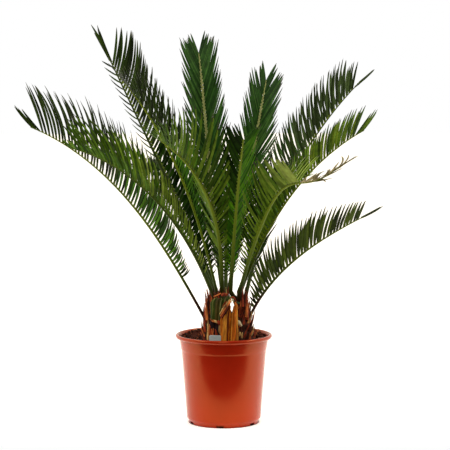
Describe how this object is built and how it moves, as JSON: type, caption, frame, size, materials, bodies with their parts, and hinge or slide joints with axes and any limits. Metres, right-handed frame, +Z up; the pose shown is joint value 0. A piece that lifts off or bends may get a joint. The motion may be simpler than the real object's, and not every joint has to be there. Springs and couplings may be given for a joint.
{
  "type": "potted sago palm",
  "caption": "Young sago palm with a short scaly trunk and arching feather fronds, in a round terracotta-coloured plastic nursery pot filled with potting mix.",
  "frame": {"origin": "centre of the pot's flat underside, on the surface that the plant stands on", "axes": "+Z up through the pot, +X to the right and -Y towards the viewer of the plant's front"},
  "size_m": [0.6916, 0.6772, 0.7816],
  "materials": {
    "pot_plastic": "smooth moulded terracotta-coloured plastic with a soft gloss",
    "potting_mix": "coarse dark brown bark and peat crumbs",
    "label_plastic": "blank pale blue-grey plastic slip",
    "trunk_bark": "dry woody leaf bases and pointed papery scales, red-brown to dark brown",
    "green_leaf_base": "olive green leaf base with fine lengthwise stripes",
    "split_leaf_base": "split orange-brown fibres",
    "frond_green": "leathery dark green leaflets with a soft gloss, paler rib"
  },
  "bodies": {
    "root": {"pot": "pot_plastic", "soil": "potting_mix", "label": "label_plastic", "trunk": "trunk_bark", "green_leaf_base": "green_leaf_base", "split_base_left": "split_leaf_base", "split_base_right": "split_leaf_base", "frond_01": "frond_green", "frond_02": "frond_green", "frond_03": "frond_green", "frond_04": "frond_green", "frond_05": "frond_green", "frond_06": "frond_green", "frond_07": "frond_green", "frond_08": "frond_green", "frond_09": "frond_green", "frond_10": "frond_green", "frond_11": "frond_green", "frond_12": "frond_green", "frond_13": "frond_green", "frond_14": "frond_green", "frond_15": "frond_green", "frond_16": "frond_green"}
  },
  "joints": []
}
